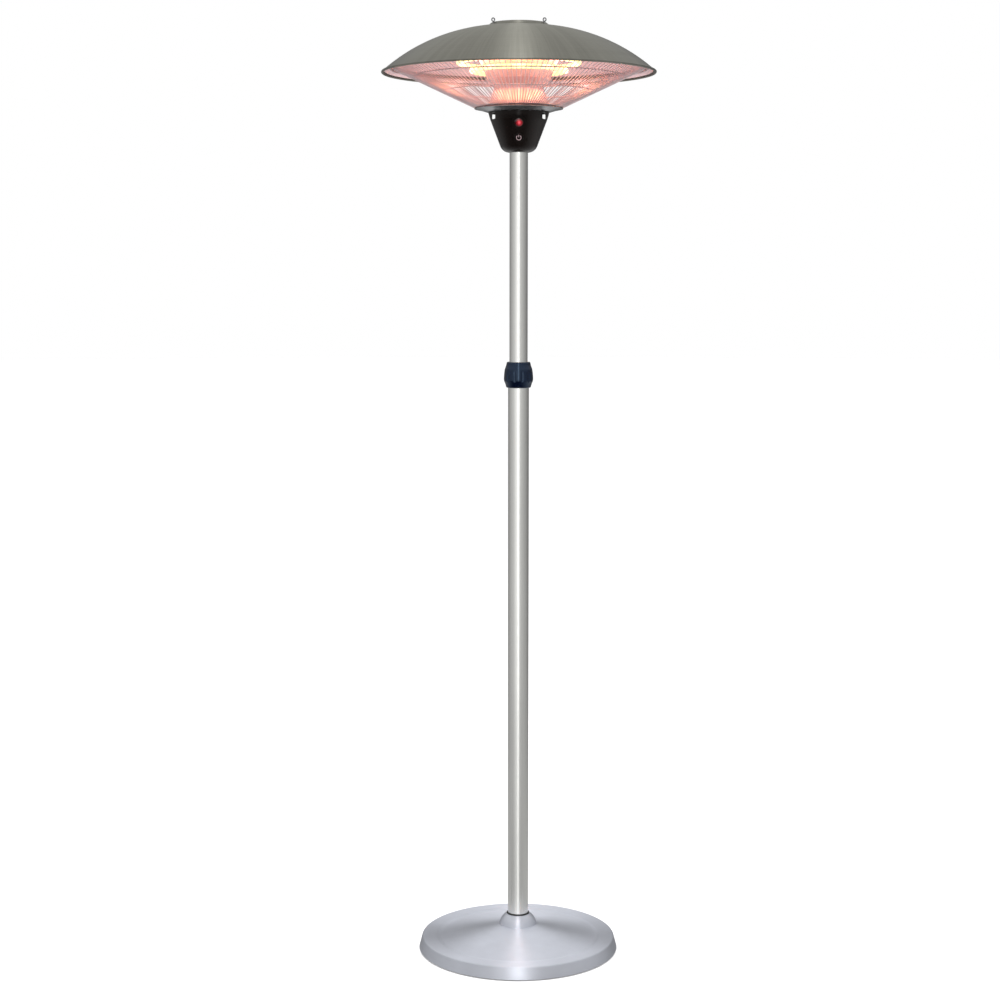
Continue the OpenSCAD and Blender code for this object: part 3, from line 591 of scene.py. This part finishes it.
def make_collar():
    """A barrel with twelve oval flutes that fade out where the barrel gets thinner than they are deep.

    The barrel's outline is rounded with a Catmull-Rom curve through its points.
    """
    flutes, cutter, depth, widest, blend = 12, 5.2, 1.6, 32.2, 0.5
    distance = widest + cutter - depth
    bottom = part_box("lock_collar")[0].z / MM
    barrel = [(25.9, 0), (26.5, 0.5), (27.3, 2), (28.4, 6), (30.2, 11), (31.7, 15), (widest, 20),
              (32, 25), (31.6, 30), (31.1, 35.5), (30.2, 40.5), (28.7, 44.8), (27.5, 48.5),
              (26.7, 51.5), (26.3, 53.6), (25.7, 55.4), (24.6, 56.3)]
    fine = []
    for i in range(1, len(barrel) - 2):
        before, a, b, after = (Vector(barrel[j]) for j in (i - 1, i, i + 1, i + 2))
        second = 2 * before - 5 * a + 4 * b - after
        third = 3 * a - before - 3 * b + after
        for t in (0, 0.2, 0.4, 0.6, 0.8):
            fine.append(tuple(0.5 * (2 * a + (b - before) * t + second * t ** 2 + third * t ** 3)))
    bore = [(20.6, 56.3), (20.6, 52.3), (25.8, 49.3), (25.8, 3), (23.6, 3), (23.6, 0)]
    outside = 26

    def fluted(radius, _, angle):
        pitch = 2 * math.pi / flutes
        away = (angle % pitch) - pitch / 2
        reach = distance * math.sin(away)
        if radius < outside or abs(reach) >= cutter:
            return radius
        flute = distance * math.cos(away) - math.sqrt(cutter ** 2 - reach ** 2)
        soft = max(blend - abs(radius - flute), 0) / blend
        return min(radius, flute) - soft * soft * blend / 4

    outline = [(r, h + bottom) for r, h in barrel[:1] + fine + barrel[-2:] + bore]
    cover(add_mesh("fluted_collar", *turned(outline, turns=480, shape=fluted), sharp=38), "lock_collar")


# ---- Guard ---------------------------------------------------------------------------------------

def on_guard(radius, above):
    """The point of the guard's cone at a radius, moved off its upper side."""
    along = (radius - GUARD_LOW_R) / math.cos(GUARD_ANGLE)
    height = GUARD_LOW_H + along * math.sin(GUARD_ANGLE) + above * math.cos(GUARD_ANGLE)
    return radius - above * math.sin(GUARD_ANGLE), height


def make_guard():
    """The pan with the rolled bead on its rim, the guard's four rings and its radial wires."""
    rim_r, rim_h, bead_r, pan_sheet = 95.5, PAN_H + 6.9, 0.95, 1
    below = filleted([(5, PAN_H), (70, PAN_H), (84, PAN_H + 4.3), (rim_r, rim_h)], radius=5)
    dish = sheet(below, pan_sheet)
    bead = ring_outline(rim_r - 0.2, rim_h + 0.4, bead_r)
    pan = joined([turned(at_head(dish)), turned(at_head(bead))])
    cover(add_mesh("pan_dish", *pan), "guard_pan")

    band_in, band_out, band_low, band_high = 94.1, 95.5, PAN_H + 8.5, PAN_H + 12.3
    seam = (band_in, PAN_H + 10)
    corners = [(band_in, band_high), (band_out, band_high), (band_out, band_low), (band_in, band_low)]
    band = filleted([seam, *corners, seam], radius=0.4, steps=3)[:-1]
    cover(lathe("guard_band", at_head(band)), "guard_ring_bottom")

    # Name, radius, wire radius, and 1 for a ring on top of the wires or -1 for one under them.
    rings = (("inner", 166, 1.5, 1), ("outer", 231, 1.5, 1), ("top", 276.5, 2, -1))
    gap = 0.02
    for name, radius, wire, side in rings:
        centre = on_guard(radius, side * (WIRE_R + wire + gap))
        ring = at_head(ring_outline(*centre, wire))
        cover(lathe("ring_" + name, ring), "guard_ring_" + name)

    end_room = 0.8
    low = on_guard(GUARD_LOW_R + end_room, 0)
    high = on_guard(GUARD_TOP_R - end_room, 0)
    wires = []
    for i in range(WIRE_COUNT):
        a = 2 * math.pi * (i + 0.5) / WIRE_COUNT
        ends = [(r * math.cos(a), r * math.sin(a), h + HEAD_Z) for r, h in (low, high)]
        wires.append(tube(ends, WIRE_R, sides=10))
    cover(add_mesh("round_wires", *joined(wires), sharp=60), "guard_wires")


# ---- Reflectors and lamps ------------------------------------------------------------------------

def make_reflectors():
    """The waisted reflectors' sheets lie inside their outlines, the other two sheets above theirs."""
    lower = [(69.6, PAN_H + 1.1), (69.2, 96), (65, 110), (59, 124), (55, 132), (54, 136.5), (56, 142),
             (62, 150.5), (71, 159)]
    upper = [(69.5, 159.3), (74, 171), (80, 184), (86, 199), (91, 211), (94, 219.8)]
    ceiling_h, ceiling_arc_r = 220, 378.3
    ceiling = [(4.2, ceiling_h), (90, ceiling_h)]
    ceiling += arc((120, ceiling_h - ceiling_arc_r), ceiling_arc_r, 93, 66.3, 24)
    lip = [(281.8, 181.6), (282.4, 181.2), (289.7, 175.3), (290.3, 174.8)]
    for name, outline in (("lower_reflector", lower), ("upper_reflector", upper)):
        wall = sheet(filleted(outline, radius=9)[::-1], -REFLECTOR_SHEET)
        cover(lathe("spun_" + name, at_head(wall)), name)
    for name, outline in (("ceiling_reflector", ceiling), ("shade_lip", lip)):
        cover(lathe("spun_" + name, at_head(sheet(outline, REFLECTOR_SHEET))), name)


def make_filaments():
    """Each filament is a coil that hangs round the middle of its tube."""
    coil_r, pitch, wire, steps = 1.15, 3.2, 0.42, 8
    coils = []
    for ring, height, gap in LAMPS:
        start, end = math.radians(90 + gap), math.radians(450 - gap)
        turns = int(ring * (end - start) / pitch)
        line = []
        for i in range(turns * steps + 1):
            a = start + (end - start) * i / (turns * steps)
            b = 2 * math.pi * i / steps
            r = ring + coil_r * math.cos(b)
            line.append((r * math.cos(a), r * math.sin(a), height + HEAD_Z + coil_r * math.sin(b)))
        coils.append(tube(line, wire, sides=6))
    cover(add_mesh("wound_filaments", *joined(coils), sharp=80), "lamp_filaments")


# ---- Control housing's front ---------------------------------------------------------------------

def on_front(piece, height):
    """Places a piece on the sloping front wall: its Z axis points out of the wall, its Y axis up it."""
    radius = WALL_LOW_R + height * math.tan(math.radians(WALL_ANGLE))
    piece.location = (0, -radius * MM, (HEAD_Z + height) * MM)
    piece.rotation_euler = (math.radians(90 + WALL_ANGLE), 0, 0)
    bpy.context.view_layer.update()
    return piece


def make_window():
    """A dome on a short skirt: the dome is a cap of a ball and starts at the skirt's edge."""
    radius, wall, skirt = 9.4, 1.6, -2
    edge, bulge = 0.9, 2.2
    window_h = 62.5
    centre = (bulge ** 2 - radius ** 2) / (2 * bulge) + edge
    ball = bulge + edge - centre
    start = math.degrees(math.asin((edge - centre) / ball))
    outline = arc((0, centre), ball, start, 89.9, 16)
    outline += [(0.02, 0.4), (radius - wall, -0.2), (radius - wall, skirt), (radius, skirt)]
    window = lathe("domed_window", outline, turns=96, sharp=50)
    cover(on_front(window, window_h), "receiver_window")


# ---- Shade ---------------------------------------------------------------------------------------

def make_shade():
    """An arc from the flat crown to the rim, which is rolled into a bead, and the cap on the crown."""
    crown = Vector((70, CROWN_H))
    rim = Vector((RIM_R - 2.4, 173.7))
    radius, bead, shade_sheet, turns = 393.9, 2.6, 0.8, 288
    chord = rim - crown
    back = math.sqrt(radius ** 2 - (chord.length / 2) ** 2)
    centre = (crown + rim) / 2 + Vector((chord.y, -chord.x)).normalized() * back
    start, end = (math.degrees(math.atan2(p.y - centre.y, p.x - centre.x)) for p in (crown, rim))
    flat = [(4.2, CROWN_H), (66, CROWN_H)]
    outline = filleted(flat + arc(centre, radius, start, end, 48), radius=8)
    shell = turned(at_head(sheet(outline[::-1], shade_sheet)), turns)
    rolled = turned(at_head(ring_outline(RIM_R - bead, rim.y - 1, bead, steps=20)), turns)
    cover(add_mesh("spun_shade", *joined([shell, rolled])), "shade_dome")
    cap_h = 277.4
    cap = filleted([(69, CROWN_H + 0.75), (60.5, cap_h), (0.05, cap_h)], radius=2.5)
    cover(lathe("spun_cap", at_head(sheet(cap, shade_sheet))), "top_cap")


# ---- Stage ---------------------------------------------------------------------------------------

def make_camera():
    """At the photographer's place: as high as the pole's upper part and over four metres away."""
    distance, height = 4.337, 1.534
    down, aside = 6.708, 0.5386
    camera = bpy.data.objects.new("camera", bpy.data.cameras.new("camera"))
    camera.data.lens = 70.86
    camera.data.sensor_width = 36
    camera.location = (0, -distance, height)
    camera.rotation_euler = (math.radians(90 - down), 0, math.radians(aside))
    bpy.context.scene.collection.objects.link(camera)
    bpy.context.scene.camera = camera


def make_world():
    """White for the camera and for soft light.

    Gloss sees a light tent instead: its wall gets darker from the camera's side to the back, what is low
    does the opposite, above it is evenly bright, and a narrow bright strip runs up its front and over.
    """
    world = bpy.data.worlds.new("studio")
    bpy.context.scene.world = world
    world.use_nodes = True
    tree = world.node_tree
    node = tree.nodes.new
    split = node("ShaderNodeSeparateXYZ")
    coordinates = node("ShaderNodeTexCoord").outputs["Generated"]
    tree.links.new(coordinates, split.inputs[0])

    def ramp(source, stops):
        made = node("ShaderNodeValToRGB")
        elements = made.color_ramp.elements
        while len(elements) < len(stops):
            elements.new(0.5)
        for element, (position, value) in zip(elements, stops):
            element.position = position
            element.color = (value, value, value, 1)
        tree.links.new(source, made.inputs[0])
        return made.outputs["Color"]

    def mixed(factor, a, b, kind="MIX"):
        made = node("ShaderNodeMix")
        made.data_type = "RGBA"
        made.blend_type = kind
        colour_a, colour_b, colour_out = 6, 7, 2
        sources = {"Factor": factor, colour_a: a, colour_b: b}
        for socket, source in sources.items():
            if isinstance(source, (float, tuple)):
                made.inputs[socket].default_value = source
            else:
                tree.links.new(source, made.inputs[socket])
        return made.outputs[colour_out]

    def dot(direction):
        made = node("ShaderNodeVectorMath")
        made.operation = "DOT_PRODUCT"
        tree.links.new(coordinates, made.inputs[0])
        made.inputs[1].default_value = direction
        return made.outputs["Value"]

    def spread(source, start, end):
        made = node("ShaderNodeMapRange")
        made.inputs["From Min"].default_value = start
        made.inputs["From Max"].default_value = end
        tree.links.new(source, made.inputs["Value"])
        return made.outputs["Result"]

    aside = node("ShaderNodeMath")
    aside.operation = "ABSOLUTE"
    tree.links.new(split.outputs["X"], aside.inputs[0])
    back_right, front_up = (0.27, 0.963, 0), (0, -1, 1)
    away = spread(dot(back_right), -1, 1)
    rise = split.outputs["Z"]
    level = ramp(away, [(0, 1.1), (0.02, 1.0), (0.08, 0.66), (0.34, 0.47), (0.8, 0.24), (1, 0.15)])
    below = ramp(away, [(0, 0.04), (0.2, 0.06), (0.4, 0.4), (0.7, 0.8), (1, 0.9)])
    above = (0.86, 0.86, 0.86, 1.0)
    tent = mixed(spread(rise, 0.16, 0.56), level, above)
    tent = mixed(spread(rise, -0.2, -0.5), tent, below)
    narrow = ramp(aside.outputs[0], [(0, 3.2), (0.03, 3.2), (0.05, 1.6), (0.10, 1.6), (0.2, 0)])
    over = ramp(spread(dot(front_up), 0.2, 0.9), [(0, 0), (1, 1)])
    strip = mixed(1.0, narrow, over, "MULTIPLY")
    tent = mixed(1.0, tent, strip, "LIGHTEN")
    path = node("ShaderNodeLightPath")
    white = (1.0, 1.0, 1.0, 1.0)
    seen = mixed(path.outputs["Is Glossy Ray"], white, tent)
    seen = mixed(path.outputs["Is Camera Ray"], seen, white)
    background = tree.nodes["Background"]
    tree.links.new(seen, background.inputs["Color"])
    background.inputs["Strength"].default_value = 1.0


def make_floor():
    bpy.ops.mesh.primitive_circle_add(vertices=96, radius=30, fill_type="NGON")
    floor = bpy.context.object
    floor.name = "floor"
    p = Paint("floor", (0.92, 0.92, 0.92), 0, 0.9, Emission_Color=(1, 1, 1, 1), Emission_Strength=0.12)
    p.shades(p.noise(p.place((3, 3, 3)), 2), 0.01)
    floor.data.materials.append(p.material)
    floor.visible_glossy = False


def add_area(name, place, target, size, power):
    """A square soft light at a place, facing a target. Gloss doesn't see it."""
    light = bpy.data.objects.new(name, bpy.data.lights.new(name, "AREA"))
    light.data.shape = "SQUARE"
    light.data.size = size
    light.data.energy = power
    light.location = place
    light.rotation_euler = (Vector(target) - Vector(place)).to_track_quat("-Z", "Y").to_euler()
    light.visible_glossy = False
    bpy.context.scene.collection.objects.link(light)


def make_lights():
    add_area("key", (-1.8, -2.6, 3.6), target=(0, 0, 0.6), size=2.4, power=60)
    add_area("fill", (2.4, -2.0, 3.0), target=(0, 0, 0.6), size=2.4, power=40)
    add_area("top", (0, 0.6, 4.6), target=(0, 0, 0), size=3, power=60)


def make_glow():
    """Warm light from the two lamps, as a ring of small lights between them that go with the head."""
    count, ring, height = 10, 0.115, HEAD_Z * MM + 0.183
    for i in range(count):
        a = 2 * math.pi * (i + 0.5) / count
        light = bpy.data.objects.new(f"glow_{i}", bpy.data.lights.new(f"glow_{i}", "POINT"))
        light.data.color = (1.0, 0.39, 0.30)
        light.data.energy = 0.135
        light.data.shadow_soft_size = 0.02
        light.location = (ring * math.cos(a), ring * math.sin(a), height)
        light.visible_camera = False
        bpy.context.scene.collection.objects.link(light)
        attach(light, "head")


paint_cad_nodes()
make_base()
make_tubes()
make_collar()
make_guard()
make_reflectors()
make_filaments()
make_window()
make_shade()
make_camera()
make_world()
make_floor()
make_lights()
make_glow()
bpy.context.scene.view_settings.view_transform = "Standard"
